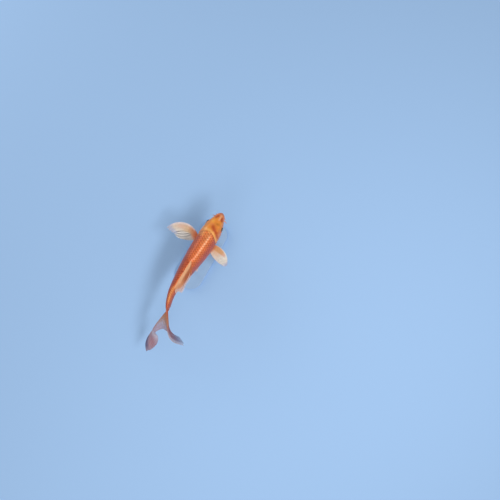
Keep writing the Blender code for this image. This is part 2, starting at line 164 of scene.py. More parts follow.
def makePiece(name, points, quads, material, tris=(), tint=None, values=None, cornerUv=None):
    # points in millimetres, which quads and tris index; tint is a colour and values are numbers per point
    tris = np.asarray(tris, int).reshape(-1, 3)
    corners = np.concatenate([quads.ravel(), tris.ravel()]).astype(np.int32)
    counts = np.repeat([4, 3], [len(quads), len(tris)])
    mesh = bpy.data.meshes.new(name)
    mesh.vertices.add(len(points))
    mesh.vertices.foreach_set("co", (points * mm).astype(np.float32).ravel())
    mesh.loops.add(len(corners))
    mesh.loops.foreach_set("vertex_index", corners)
    mesh.polygons.add(len(counts))
    mesh.polygons.foreach_set("loop_start", (np.cumsum(counts) - counts).astype(np.int32))
    mesh.update(calc_edges=True)
    if cornerUv is not None:
        layer = mesh.uv_layers.new(name="OFBake")
        layer.data.foreach_set("uv", cornerUv.astype(np.float32).ravel())
    if tint is not None:
        withAlpha = np.insert(tint, 3, 1, axis=1).astype(np.float32)
        mesh.attributes.new("tint", "FLOAT_COLOR", "POINT").data.foreach_set("color", withAlpha.ravel())
    for key, numbers in (values or {}).items():
        mesh.attributes.new(key, "FLOAT", "POINT").data.foreach_set("value", numbers.astype(np.float32))
    mesh.shade_smooth()
    mesh.materials.append(material)
    piece = bpy.data.objects.new(name, mesh)
    bpy.context.scene.collection.objects.link(piece)
    return piece


def addNode(tree, kind, inputs=None, out=0, **settings):
    # one node, from values or other nodes' outputs and its own settings; gives back its output
    node = tree.nodes.new("ShaderNode" + kind)
    for key, value in settings.items():
        setattr(node, key, value)
    for key, value in (inputs or {}).items():
        if isinstance(value, bpy.types.NodeSocket):
            tree.links.new(value, node.inputs[key])
        else:
            node.inputs[key].default_value = value
    return node.outputs[out] if len(node.outputs) else node


def startMaterial(name):
    # a material, and what adds nodes to its empty tree
    material = bpy.data.materials.new(name)
    material.use_nodes = True
    material.node_tree.nodes.clear()
    return material, partial(addNode, material.node_tree)


def startPainted(name):
    # the same with the place on the piece that patterns read, and the piece's painted colour
    material, add = startMaterial(name)
    return material, add, add("TexCoord", out="Object"), add("Attribute", attribute_name="tint")


def ranged(value, *ends):
    # a Map Range node's inputs: value, from the first two numbers to the last two
    return dict(zip(("Value", "From Min", "From Max", "To Min", "To Max"), (value, *ends)))


def clouded(add, spot, scale, detail, dark, light):
    # cloudy noise, its middle stretched to run from dark to light
    cloud = add("TexNoise", {"Vector": spot, "Scale": scale, "Detail": detail})
    return add("MapRange", ranged(cloud, 0.3, 0.7, dark, light))


def waves(add, value, turns):
    # sine of the value times so many radians
    return add("Math", {0: add("Math", {0: value, 1: turns}, operation="MULTIPLY")}, operation="SINE")


def finishMaterial(material, add, inputs):
    # the surface's shader, with its fixed numbers on its own sockets
    add("OutputMaterial", {"Surface": add("BsdfPrincipled", inputs)})
    return material


# the body's shape, as in the solids
body = dict(
    # place along the spine and its direction in degrees, positive towards the fish's right
    turns=np.array([
        (0, -5), (14, -1), (40, -2), (75, -4.5), (110, -3.5), (138, -0.5), (153, 11), (180, 28)]),
    # place along the spine, half width, height of the back, depth of the belly, in millimetres
    sections=np.array([
        (0, 0, 0, 0), (2, 4.4, 3.4, 3.6), (6, 7.2, 7.4, 6.8), (12, 9.7, 11.6, 9.9), (20, 12.6, 15.6, 12.9),
        (30, 14.9, 19.4, 15.4), (45, 15.9, 23.4, 18.8), (68, 16, 26.6, 21.2), (90, 13.9, 25.2, 20.2),
        (115, 10.9, 20.2, 16.3), (135, 8, 15.2, 11.9), (152, 5.7, 11.7, 9.2), (168, 3.9, 11, 9.6),
        (180, 1.3, 12.4, 11.2)]),
    lowShare=0.10,    # the widest level, as a share of the belly's depth below the axis
    boxyHead=2.5, boxyLoss=0.45, boxyLength=70, boxyBelly=2.2,
    length=180,
    bladeFrom=170.5, bladeOver=7, bladeWidth=0.15, bladeHeight=0.8,    # the stalk's end, thinned
    border=dict(    # where the bare head ends, from the nape (0) round to the throat (1)
        round=(0, 0.12, 0.25, 0.40, 0.50, 0.66, 0.80, 1),
        along=(33, 35.2, 39.8, 43.8, 45.2, 45.6, 45.4, 44)),
    coatDepth=0.45,    # the scales' height over the skin
    spineLine=(200, 801), tableRows=600, tablePower=1.6, fineSteps=720, evenSteps=360,
)
eyeShape = dict(place=23, height=5, radius=4, halfDepth=2.6, tilt=math.radians(84))
mouth = dict(start=(0, -1), corner=(9, -5.6))    # the slit, seen from the side


def heading(s):
    # the spine's direction at s, in radians from +X towards +Y
    return np.radians(through(*body["turns"].T, s))


# the spine's own line: sums of the cosine and the sine of its direction, taken at the middle of each step
spineS, spineStep = np.linspace(0, *body["spineLine"], retstep=True)
spineTurn = heading(spineS[:-1] + spineStep / 2)
spineX, spineY = (np.append(0, np.cumsum(wave(spineTurn))) * spineStep for wave in (np.cos, np.sin))


def middleOf(node):
    # middle of a solid's box, in millimetres
    return np.mean(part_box(node), axis=0) / mm


# the fish hangs where the frame's two eyes are: the middle between them is on the spine, eye height up
snout = (middleOf("eye_left") + middleOf("eye_right")) / 2 - np.array([
    *(np.interp(eyeShape["place"], spineS, line) for line in (spineX, spineY)), eyeShape["height"]])


def place(s, right, up):
    # point at s along the spine, so far to its right and so far up, in the frame, in millimetres
    turn = heading(s)
    x = np.interp(s, spineS, spineX) - right * np.sin(turn) + snout[0]
    y = np.interp(s, spineS, spineY) + right * np.cos(turn) + snout[1]
    return stacked(x, y, up + snout[2])


def halfSizes(s):
    # half width, back and belly at s, over the root of s, which rounds the snout
    knots, *sizes = body["sections"].T
    return [through(np.sqrt(knots), size, np.sqrt(np.maximum(s, 0))) for size in sizes]


def sectionTables():
    # half sections from the back's midline to the belly's, at even shares of their length: each is a
    # superellipse, right = width cos^(2/n) and up = height sin^(2/n), boxier on the head than behind it
    share = np.linspace(0, 1, body["tableRows"])
    s = body["length"] * share ** body["tablePower"]
    wide, back, belly = (a[:, None] for a in halfSizes(np.maximum(s, 1e-3)))
    low = body["lowShare"] * belly
    boxy = (body["boxyHead"] - body["boxyLoss"] * rise(s, 0, body["boxyLength"]))[:, None]
    around = np.linspace(math.pi / 2, -math.pi / 2, body["fineSteps"] + 1)[None, :]
    c, d = np.abs(np.cos(around)), np.sin(around)
    height = np.abs(d) ** (2 / np.where(d > 0, boxy, body["boxyBelly"]))
    right, up = wide * c ** (2 / boxy), np.where(d > 0, (back + low) * height, -(belly - low) * height) - low
    steps = np.hypot(np.diff(right), np.diff(up))
    arc = np.concatenate([np.zeros((len(s), 1)), np.cumsum(steps, axis=1)], axis=1)
    even = np.linspace(0, 1, body["evenSteps"] + 1)
    return [np.array([np.interp(even * a[-1], a, row) for a, row in zip(arc, table)]) for table in (right, up)]


sections = sectionTables()


def sectionAt(s, f):
    # right and up at s and f, the share round from the back's midline (0) to the belly's (1, or -1 on the left)
    lastRow, lastColumn = body["tableRows"] - 1, body["evenSteps"]
    row = np.clip((s / body["length"]) ** (1 / body["tablePower"]) * lastRow, 0, lastRow - 0.001)
    f = (f + 1) % 2 - 1
    column = np.clip(np.abs(f) * lastColumn, 0, lastColumn - 0.001)
    r, c = row.astype(int), column.astype(int)
    a, b = row - r, column - c
    right, up = [between((between((t[r, c], t[r + 1, c]), a), between((t[r, c + 1], t[r + 1, c + 1]), a)), b)
                 for t in sections]
    # the stalk's end thins to a blade between the rays of the tail
    thin = rise(s, body["bladeFrom"], body["bladeOver"])
    right = right * np.where(f < 0, -1, 1) * (1 - (1 - body["bladeWidth"]) * thin)
    return right, up * (1 - (1 - body["bladeHeight"]) * thin)


def bodyPoint(s, f):
    # point on the smooth body
    return place(s, *sectionAt(s, f))


def onBody(s, f, lift):
    # point on the body at (s, f), lifted along the surface's normal: the cross product of its two slopes
    first, last = 0.002, body["length"] - 0.01
    s, f = np.broadcast_arrays(np.asarray(s, float), np.asarray(f, float))
    s = np.clip(s, 2 * first, last)
    stepS, stepF = 0.01 + 0.012 * s, 0.006    # shorter towards the snout, where the sections grow fast
    ahead = bodyPoint(np.minimum(s + stepS, last), f) - bodyPoint(np.maximum(s - stepS, first), f)
    normal = unit(np.cross(ahead, bodyPoint(s, f + stepF) - bodyPoint(s, f - stepF)))
    return bodyPoint(s, f) + normal * np.asarray(lift)[..., None]


def scaleBorder(f):
    # where the scales start: far forward on the nape, back along the gill cover's edge
    return through(body["border"]["round"], body["border"]["along"], np.abs(f))


def alongSheet(s):
    # place along the skin's unwrapped sheet, from 0 to 1
    return 0.01 + 0.97 * s / body["length"]


print("shape tables ready")


# the markings, shared by skin, scales and fin roots, with painted highlights along the ridge and the snout and
# painted shade on the left side among them; places are along the spine and to the right of it
koiColours = palette(
    back="#DE6E30", flank="#BC421B", belly="#F2C9A4", stalk="#B84A30", ridge="#F2A558", head="#EC8C2C",
    cheek="#D9692A", snout="#EC8440", lip="#CC7C56", crescent="#F5AE5C", patch="#B84200", nostril="#B03C00",
    streak="#F6B27C", gold="#FBA63C", ochre="#B86C08", throat="#F3D0AC", nape="#DE9450", shoulder="#E08C3C",
    ember="#A8340F", coral="#EE8A4E")
koiMarks = dict(
    # colour, strength, middle and size of the soft fields between the eyes
    fields=[
        ("gold", 0.8, (17, -5), (4, 3.4)), ("coral", 0.6, (22.5, -2.4), (2.6, 2.6)),
        ("ochre", 0.8, (18.8, 4.2), (1.9, 3))],
    # strength, start, end and width of the strokes that make the red patch behind them
    patch=[
        (1, (25.4, 0.6), (28.8, 4.6), 3.4), (1, (28.8, 4.6), (31.5, 9), 2.5),
        (0.8, (31.5, 9), (36.5, 14), 1.7)],
    nostrils=[((7.6, 4.8), (11.2, 6.6)), ((6.6, -2.4), (9.8, -4.4))], nostrilWidth=1.8,
    # painted highlight along the snout: start, end and width of its stroke
    streak=((4, 1.4), (11.5, 2.2)), streakWidth=1.3,
    nape=33,    # where the crescent starts on the midline
)


def koiTint(s, f, right, up):
    # orange, with redder flanks and a pale belly; golden fields, a red patch and a yellow crescent on the head;
    # painted shade over the left of the back, painted light on a band along the left flank, painted highlights
    # on the ridge behind the back fin and along the snout
    side, top = np.abs(f), rise(up, 1, 6)
    border = scaleBorder(f)
    # painted shade: the left of the back and upper flank darker red behind the head, stronger towards the tail
    ember = rise(-right, -1.2, 3.2) * fade(side, 0.36, 0.10) * rise(s, 40, 8)
    trunk = painted(koiColours, "back", [
        ("flank", rise(side, 0.08, 0.26)),
        ("stalk", 0.7 * rise(s, 128, 34)),
        # painted highlight along the ridge of the back, behind the back fin
        ("ridge", 0.85 * bump(right, -0.8, 2.8) * top * rise(s, 130, 10) * fade(s, 156, 10)),
        ("belly", rise(side, 0.60 + 0.22 * rise(s, 120, 50), 0.24)),
        ("nape", 0.35 * bump(right, 1, 5) * fade(s, 44, 26) * top),
        ("ember", ember * (0.45 + 0.35 * rise(s, 76, 14))),
        # painted light: a paler band along the middle of the left flank
        ("back", 0.6 * (f < 0) * bump(side, 0.46, 0.07)),
        # the left shoulder stays golden behind the crescent, which runs straight out there
        ("shoulder", 0.75 * rise(-right, 3, 4) * fade(s + 0.3 * right, 40.5, 4) * top)])
    patch = np.max([share * stroke(s, right, *line) for share, *line in koiMarks["patch"]], axis=0)
    nostrils = sum(stroke(s, right, *line, koiMarks["nostrilWidth"]) for line in koiMarks["nostrils"])
    mouthBand = bump(fromLine(s, up, mouth["start"], mouth["corner"])[0], 0, 2) * fade(s, 8.5, 2)
    head = painted(koiColours, "cheek", [
        ("head", top),
        ("throat", rise(side, 0.62, 0.22)),
        ("snout", 0.9 * fade(s, 5, 8)),
        ("lip", 0.8 * fade(s, 1.6, 2.6)),
        ("cheek", 0.6 * top * rise(right, 8.5, 3) * bump(s, 28, 6)),
        *[(colour, share * top * dab(s, right, *field)) for colour, share, *field in koiMarks["fields"]],
        ("patch", 0.95 * top * patch),
        ("nostril", 0.9 * np.clip(nostrils, 0, 1) * top),
        # painted highlight: a pale stroke along the snout
        ("streak", 0.9 * stroke(s, right, *koiMarks["streak"], koiMarks["streakWidth"]) * top),
        ("lip", 0.7 * mouthBand)])
    line = np.where(f < 0, koiMarks["nape"] + 0.2 * (border - koiMarks["nape"]), border)
    return painted(koiColours, "back", [
        (blend(head, trunk, rise(s, border - 0.6, 1.2)), 1),
        ("crescent", 0.85 * bump(s, line - 0.5, 2) * fade(side, 0.34, 0.14))])


# skin
skin = dict(
    headRows=132, trunkRows=100, headCrowding=1.12, trunkCrowding=1.5, end=175.8, columns=320,
    underScales=(0.2, 1.1),    # behind the border, where the skin goes down under the scales
)
# the head's relief, in millimetres over the smooth body; places are along the spine and up from it
headShape = dict(
    # straight folds: start, end, and for each ridge or groove its height, side, width and fading out
    folds=[
        (mouth["start"], mouth["corner"], [    # slit, two lips and the groove under the lower one
            (-1.25, 0, 0.32, 9.4, 1.6), (0.42, 1.45, 1, 8, 2.6), (0.42, -1.4, 0.9, 8, 2.6),
            (-0.34, -2.8, 0.42, 9, 2)]),
        ((3.7, 6), (10.2, -3.8), [    # fold behind the upper lip, down to the corner of the mouth
            (-0.42, 0, 0.45, 11, 1.5), (0.16, 1.2, 0.8, 9, 2)])],
    # height, start, end and width: jaw line to the throat, folds of the cheek
    strokes=[
        (-0.36, (9.8, -6.4), (18.5, -15.2), 0.5), (-0.20, (11, -3.2), (19, -2.6), 0.55),
        (-0.16, (19, -2.6), (26.5, -4.6), 0.55)],
    # height, middle and size: flap at the mouth's corner, cheek, brow over the eye
    pads=[
        (0.40, (9.6, -4.2), (1.5, 1.2)), (0.35, (17, -6.5), (4.5, 2.6)), (0.35, (22.5, 10.2), (4.5, 1.5))],
    # height, middle and size, along and outwards: two pits, the flap between, the swelling round them
    nostril=[
        (-1.3, (7.45, 4.5), (0.66, 0.80)), (-1.4, (9.5, 4.8), (0.85, 1.10)), (0.45, (8.45, 4.6), (0.36, 1.1)),
        (0.18, (8.4, 4.5), (2.6, 2.2))],
    # height, radius and width: the rim of flesh round the eye, the groove round that, the socket
    eyeRings=[(0.50, 4.35, 0.62), (-0.24, 5.9, 0.6)],
    socket=(-3.2, 2.7, 1.15),
    gillMiddle=(36.6, -3.2), gillHalf=(8.2, 13), gillTilt=math.radians(12), gillReach=(24, 50),
)


def headRelief(s, right, up):
    # sum of bell curves: across folds and strokes, over pads and the nostril, and in rings round the eye
    lift = 0
    for start, end, lines in headShape["folds"]:
        off, along = fromLine(s, up, start, end)
        lift = lift + sum(height * bump(off, side, width) * fade(along, far, over)
                          for height, side, width, far, over in lines)
    lift += sum(height * stroke(s, up, *line) for height, *line in headShape["strokes"])
    lift += sum(height * dab(s, up, *pad) for height, *pad in headShape["pads"])
    lift += rise(up, 0, 4) * sum(height * dab(s, np.abs(right), *pit) for height, *pit in headShape["nostril"])
    reach = np.hypot(s - eyeShape["place"], up - eyeShape["height"])
    lift += sum(height * bump(reach, *ring) for height, *ring in headShape["eyeRings"])
    depth, edge, over = headShape["socket"]
    return lift + depth * fade(reach, edge, over)


def gillRelief(s, up):
    # oval gill cover, e being 1 on its edge: a groove in front, a raised rim behind it and the slit it closes
    dx, dz = s - headShape["gillMiddle"][0], up - headShape["gillMiddle"][1]
    cosT, sinT = math.cos(headShape["gillTilt"]), math.sin(headShape["gillTilt"])
    a, b = dx * cosT - dz * sinT, dx * sinT + dz * cosT
    e = np.hypot(a / headShape["gillHalf"][0], b / headShape["gillHalf"][1])
    behind = np.maximum(rise(a, -1, 4), rise(-b, 8, 3))
    lift = (0.45 * bump(e, 0.94, 0.075) - bump(e, 1.045, 0.04)) * behind
    lift -= 0.42 * bump(e, 1, 0.05) * (1 - behind)
    lift += 0.30 * np.clip(1 - e * e, 0, 1)
    # two bent seams between the plates of the cover
    inside = fade(e, 0.9, 0.1)
    lift -= 0.28 * inside * bump(b + 0.06 * a * a - 0.15 * a, -6.4, 0.42)
    return lift - 0.22 * inside * bump(a + 0.03 * b * b, -4.6, 0.45) * rise(b, -7, 2)


def trunkRelief(s, f, right, up):
    # pads where the fins root, sheaths of the back and anal fins, the vent, the line along the flank
    out, above, below = np.abs(right), rise(up, 0, 4), rise(-up, 0, 4)
    lift = 0.9 * dab(s, up, (52.5, -11.5), (5, 3.2))
    lift += 0.6 * dab(s, out, (81.5, 6.5), (4, 2.6)) * below
    lift += 0.6 * bump(out, 0, 1.7) * rise(s, 80, 5) * fade(s, 134, 5) * above
    lift += 0.5 * bump(out, 0, 1.6) * rise(s, 126, 4) * fade(s, 142, 4) * below
    lift += 0.5 * dab(s, out, (125.5, 0), (1.8, 1.6)) * below
    return lift - 0.12 * bump(np.abs(f), 0.5, 0.02) * rise(s, 46, 4)


def skinGrid():
    # rows bend with the scales' border, so that one row runs along it: close together before it, wider behind
    f = (np.arange(skin["columns"]) + 0.5) / skin["columns"] * 2 - 1
    border = scaleBorder(f)[None]
    head = border * np.linspace(0, 1, skin["headRows"])[:, None] ** skin["headCrowding"]
    share = np.linspace(0, 1, skin["trunkRows"])[1:, None] ** skin["trunkCrowding"]
    s = np.concatenate([np.maximum(head, 0.02), border + (skin["end"] - border) * share])
    return s, np.broadcast_to(f, s.shape)


def makeSkin(material):
    # grid over the body: rows along the spine, columns at even shares round each section
    s, f = skinGrid()
    rows, columns = s.shape
    right, up = sectionAt(s, f)
    border = scaleBorder(f)
    nearGill = (s > headShape["gillReach"][0]) & (s < headShape["gillReach"][1])
    lift = -body["coatDepth"] * rise(s - border, *skin["underScales"])
    lift += headRelief(s, right, up) * fade(s - border, -1, 3) + gillRelief(s, up) * nearGill
    lift += trunkRelief(s, f, right, up)
    points = onBody(s, f, lift).reshape(-1, 3)
    tint = koiTint(s, f, right, up).reshape(-1, 3)
    quads, tris = gridQuads(rows, columns, True)[:, ::-1], fanCaps(rows, columns)[:, [0, 2, 1]]
    points = np.concatenate([points, onBody([0], [0.5], [0]), points[-columns:].mean(0, keepdims=True)])
    tint = np.concatenate([tint, tint[:1], tint[-1:]])
    # unwrap: along the spine and round the section, opened down the belly, with the fans at both ends
    rowOf, columnOf = gridPlaces(quads, columns)
    quadUv = stacked(alongSheet(s[rowOf, columnOf % columns]), (columnOf + 0.5) / (columns + 1))
    fan = np.arange(columns)[:, None] + np.array([0.5, 0, 1])
    fanUv = [stacked(ends, (fan[:, order] + 0.5) / (columns + 1)).reshape(-1, 2)
             for ends, order in (((0.004, 0.0101, 0.0101), [0, 1, 2]), ((0.99, 0.98, 0.98), [0, 2, 1]))]
    return makePiece("koi_skin", points, quads, material, tris, tint,
                     cornerUv=np.concatenate([quadUv.reshape(-1, 2), *fanUv]))


def resinSkin():
    # cast polyurethane resin, airbrushed pearl lacquer, gloss varnish: wet shine over a soft inner glow
    material, add, spot, tint = startPainted("airbrushed_resin_skin")
    cloud = add("TexNoise", {"Vector": spot, "Scale": 230, "Detail": 3})
    freckle = add("TexNoise", {"Vector": spot, "Scale": 1400, "Detail": 2})
    both = add("Math", {0: cloud, 1: 0.65, 2: freckle}, operation="MULTIPLY_ADD")
    shade = add("MapRange", ranged(both, 0.45, 1.2, 0.86, 1.12))
    colour = add("VectorMath", {0: tint, "Scale": shade}, operation="SCALE")
    # skin pores and mucus ducts 0.5 mm apart
    pore = add("TexVoronoi", {"Vector": spot, "Scale": 1900})
    relief = add("Bump", {"Strength": 0.25, "Distance": 0.00012, "Height": pore})
    return finishMaterial(material, add, {
        "Base Color": colour, "Metallic": 0.12, "Roughness": 0.40, "IOR": 1.45, "Coat Weight": 0.35,
        "Coat Roughness": 0.10, "Subsurface Weight": 0.12, "Subsurface Scale": 0.002, "Normal": relief})


skinMaterial = resinSkin()
skinPiece = makeSkin(skinMaterial)
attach(skinPiece, "root")
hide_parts("head", "upper_lip", "lower_jaw", "gill_cover_left", "gill_cover_right", "trunk_front",
            "trunk_rear", "tail_stalk")
print("skin made", len(skinPiece.data.polygons), "faces")


# scales
scales = dict(
    rows=16, lastRows=10,    # rows a side on the trunk and on the tail stalk
    stretchFrom=78, stretchOver=64,
    first=30, run=145, spacing=(4.2, 3), overlap=1.75, heightShare=1.6,
    end=171, seed=7,
    rounding=0.46,    # how much shorter a scale is at its sides
    narrowing=0.18,    # and how much narrower at its root
    underSkin=-0.3, overGill=0.6,    # start of the cut ones from the border, on the nape and on the flank
    shortest=0.06,    # the least that is left of a cut scale
    dive=1.6,    # how deep its cut root goes under the edge of the skin
    crown=0.92, camber=0.5, uneven=0.12, rim=0.25,    # in coat depths
    tube=0.22,    # height of the little tubes along the lateral line
    sheet=0.003,    # width of a scale's own patch on the unwrapped skin
    # painted highlight on the crowns of scales along the back
    crownGlint=fromHex("#FFD09C"),
)


def scaleSpacing(s):
    # distance from one stop to the next, shrinking evenly towards the tail
    return between(scales["spacing"], (s - scales["first"]) / scales["run"])


def scalePlaces():
    # rows run to the tail, where they spread and the outer ones run off at the midlines
    n = scales["rows"]
    stops = [scales["first"]]
    while stops[-1] < scales["end"] + 4:
        stops.append(stops[-1] + scaleSpacing(stops[-1]))
    stops = np.array(stops)
    found = []
    for row in range(n + 1):
        s = stops + 0.5 * (row % 2) * scaleSpacing(stops)
        stretch = 1 + (n / scales["lastRows"] - 1) * rise(s, scales["stretchFrom"], scales["stretchOver"])
        f = 0.5 + (row / n - 0.5) * stretch
        length, half = scales["overlap"] * scaleSpacing(s), scales["heightShare"] * stretch / n / 2
        keep = (f > -0.004) & (f < 1.004) & (s + 0.55 * length > scaleBorder(f) + 0.6)
        keep &= s < scales["end"] - (1 - ((f - 0.5) / 0.5) ** 2)
        midline = (f < 0.004) | (f > 0.996)    # these scales straddle it, and are made once
        for side, these in ((1, keep), (-1, keep & ~midline)):
            found.append(stacked(s, side * f, length, half, row)[these])
    return np.concatenate(found)


def scalePatch():
    # one scale as a grid: along from root (0) to rear edge (1), across from -1 to 1, with a turned-down rim
    along = np.array([0, 0.12, 0.27, 0.42, 0.57, 0.71, 0.83, 0.93, 1, 1])
    half = np.array([0.2, 0.4, 0.6, 0.77, 0.91, 1, 1])
    across = np.concatenate([-half[::-1], [0], half])
    t, c = np.meshgrid(along, across, indexing="ij")
    wall = np.zeros(t.shape)
    wall[-1], wall[:, 0], wall[:, -1] = 1, 1, 1
    return t.ravel(), c.ravel(), wall.ravel(), gridQuads(len(along), len(across), False)[:, ::-1]


def makeScales(name, chosen, material):
    # each patch is laid on the body from its root, or the border if that lies behind it, to its round rear edge
    t, c, wall, quads = scalePatch()
    count = len(chosen)
    chance = np.random.default_rng(scales["seed"]).random((count, 3))
    s0, f0, length, half, row = (chosen[:, k:k + 1] for k in range(5))
    roundness = 1 - np.sqrt(1 - 0.96 * c ** 2)
    f = f0 + half * (c * (1 - scales["narrowing"] * fade(t, 0, 0.4)))[None]
    full = length * (1 - scales["rounding"] * roundness)[None]
    onFlank = rise(np.abs(f), 0.34, 0.08)
    under = scaleBorder(f) + scales["underSkin"] + (scales["overGill"] - scales["underSkin"]) * onFlank
    start = np.clip(under, s0, s0 + (1 - scales["shortest"]) * full)
    s = start + (s0 + full - start) * t[None]
    share = (s - s0) / full
    # height: rising to the rear edge, rounded over and a little uneven; the rim is turned down
    depth = body["coatDepth"]
    height = 0.06 + scales["crown"] * share ** 0.8 - scales["camber"] * c ** 2 * (0.3 + 0.7 * share)
    height = height + scales["uneven"] * (chance[:, :1] - 0.5) * share / depth
    tube = (row == scales["rows"] // 2) * bump(c, 0, 0.2)[None] * bump(share, 0.74, 0.16)
    height = depth * (height * (1 - wall) - scales["rim"] * wall) + scales["tube"] * tube * (1 - wall)
    dive = scales["dive"] * (t < 0.01) * rise(start - s0, 0, 0.5)
    points = onBody(s, f, height - depth + trunkRelief(s, f, *sectionAt(s, f)) - dive)
    sMid = s0 + 0.6 * length
    tint = koiTint(sMid, f0, *sectionAt(sMid, f0)) * (1 + 0.10 * (chance[:, None, 1:2] - 0.5))
    tint = tint * (1 - 0.45 * tube)[..., None]
    # painted highlight on the crowns of one row of scales just right of the back's midline, between nape and
    # back fin
    crownGlint = (row == 1) * (f0 > 0) * rise(s0, 32, 5) * fade(s0, 68, 14) * (0.3 + 0.5 * chance[:, :1])
    tint = blend(tint, scales["crownGlint"], crownGlint * bump(c, 0.15, 0.50)[None] * bump(share, 0.78, 0.20))
    quads = (quads[None] + (np.arange(count) * len(t))[:, None, None]).reshape(-1, 4)
    # unwrap: a small patch at the root's place on the opened skin
    u = alongSheet(s0) + scales["sheet"] * (t[None] - 0.5)
    v = 0.5 + 0.49 * ((f0 + 1) % 2 - 1) + scales["sheet"] * 0.5 * c[None]
    uv = stacked(u, v).reshape(-1, 2)[quads.ravel()]
    edge = share * (1 - 0.3 * roundness) + 0.3 * roundness    # 1 all round the visible edge
    return makePiece(name, points.reshape(-1, 3), quads, material, tint=tint.reshape(-1, 3),
                     values={"edge": edge.ravel()}, cornerUv=uv)


def resinScale():
    # the same resin with a pearl glaze: every scale is paler along its rear edge, its own rim brightened by a
    # painted highlight, and darker at its root, a painted shade where it tucks under the scale ahead
    material, add, spot, tint = startPainted("pearl_glazed_resin_scale")
    edge = add("Attribute", out="Fac", attribute_name="edge")
    rimLightRootShade = add("MapRange", ranged(edge, 0.45, 1, 0.72, 1.18))
    shade = add("Math", {0: rimLightRootShade, 1: clouded(add, spot, 160, 3, 0.88, 1.1)}, operation="MULTIPLY")
    colour = add("VectorMath", {0: tint, "Scale": shade}, operation="SCALE")
    # painted highlight on the very rim of each scale, over its own paler colour
    rimShare = add("MapRange", ranged(edge, 0.86, 0.98, 0, 0.24))
    rim = add("Mix", {"Factor": rimShare, "A": colour, "B": opaque("#F3B184")}, "Result", data_type="RGBA")
    # growth rings 0.25 mm apart
    relief = add("Bump", {"Strength": 0.1, "Distance": 0.00005, "Height": waves(add, edge, 150)})
    return finishMaterial(material, add, {
        "Base Color": rim, "Metallic": 0.18, "Roughness": 0.40, "IOR": 1.45, "Coat Weight": 0.20,
        "Coat Roughness": 0.12, "Normal": relief})


allScales = scalePlaces()
scaleMaterial = resinScale()
onRight = allScales[:, 1] >= -0.002
for word, chosen in (("right", allScales[onRight]), ("left", allScales[~onRight])):
    coat = makeScales("koi_scales_" + word, chosen, scaleMaterial)
    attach(coat, "root")
    print("scales", word, len(chosen), "scales", len(coat.data.polygons), "faces")


# fins: u runs from the front (or lower) edge ray to the rear (or upper) one, v from the root to the tips
sumSteps = (np.arange(24) + 0.5) / 24    # middles of the pieces in a sum along a ray


def swept(startAngle, gain, v):
    # bent path up to v of a ray whose angle grows evenly: means of the angle's cosine and sine, times v
    angle = startAngle[:, None] + gain[:, None] * sumSteps * v[:, None]
    return np.cos(angle).mean(1) * v, np.sin(angle).mean(1) * v


def breastFin(p, u, v):
    # rays leave the shoulder at their own angle and bend back; they fall as they reach, and cup
    length = through((0, 0.15, 0.35, 0.6, 0.8, 1), p["lengths"], u)
    out, back = swept(np.radians(between(p["leave"], u)), np.radians(between(p["bend"], u)), v)
    x = between(p["along"], u) + length * back + snout[0]
    y = p["side"] * (p["out"] + length * out)
    z = between(p["up"], u) - p["fall"] * length * out - p["cup"] * length * v * (1 - v) + snout[2]
    return stacked(x, y, z)


def midlineFin(p, u, v):
    # rays rise from the back (or belly) midline, raked to the tail and leaning right, more so further out
    s = between(p["span"], u)
    back, belly = halfSizes(s)[1:]
    root = place(s, 0, (back if p["up"] > 0 else -belly) - p["rootDepth"] * p["up"])
    length = through(p["knots"], p["lengths"], u) + p["rootDepth"]
    tilt, side = np.radians(between(p["rake"], u)), np.radians(between(p["lean"], u))
    rising, over = swept(side * (1 - p["curl"]), 2 * side * p["curl"], v)
    turn = heading(s)
    ahead, out = length * np.sin(tilt) * v, length * np.cos(tilt) * over
    return root + stacked(ahead * np.cos(turn) - out * np.sin(turn), ahead * np.sin(turn) + out * np.cos(turn),
                          length * np.cos(tilt) * rising * p["up"])


def bellyFin(p, u, v):
    # rays leave the belly outwards and down, and lie back
    length = between(p["lengths"], u)
    root = place(between(p["span"], u), p["side"] * between(p["out"], u), -between(p["down"], u))
    fan, back = swept(np.radians(between(p["leave"], u)), np.radians(p["bend"]) + 0 * u, v)
    out = length * fan
    return root + stacked(length * back, out * p["side"] * math.sin(p["spread"]), -out * math.cos(p["spread"]))


def tailFin(p, u, v):
    # the upper lobe curls right, the lower runs back and hooks right: each ray's direction is a sum of
    # smooth steps over the length gone, and its place is the mean of that direction, times the length
    w0 = 2 * u - 1
    upper, reach = rise(w0, -0.35, 0.9)[:, None], np.abs(w0)
    longest = np.where(w0 > 0, p["upper"], p["lower"])
    length = p["middle"] + (longest - p["middle"]) * reach ** 1.3 - p["round"] * rise(reach, 0.8, 0.2)
    inner = 1 - reach[:, None]
    w = sumSteps * v[:, None]
    gone = w * length[:, None]
    upTurn = 38.5 + 73 * rise(gone + 19.5 * inner, 29, 35.5)
    lowTurn = 6 - 18 * rise(gone, 0, 6) + 4 * rise(gone, 10, 25) + 45 * rise(w, 0.62, 0.38)
    lowTurn += 185 * inner ** 1.5 * rise(gone, 38, 24)
    turn = np.radians(upper * upTurn + (1 - upper) * lowTurn)
    lift = np.radians(np.where(w0 > 0, p["liftUpper"], p["liftLower"]) * w0)[:, None] * (1 - 0.35 * w)
    root = place(p["root"] + 0 * w0, 0, w0 * p["halfHeight"] + 0.6)
    course = stacked(np.cos(lift) * np.cos(turn), np.cos(lift) * np.sin(turn), np.sin(lift))
    return root + course.mean(1) * (length * v)[:, None]


def rayMask(x, v, p):
    # 1 on a ray and 0 on the skin between; each ray parts in two at branchAt and again nearer the edge
    away = np.abs(np.abs(x) - 0.24 * rise(v, p["branchAt"], 0.5))
    away = np.abs(away - 0.10 * rise(v, p["branchAt"] + 0.3, 0.4))
    return bump(away, 0, p["rayWidth"] * (1 - 0.4 * rise(v, p["branchAt"], 0.4)))


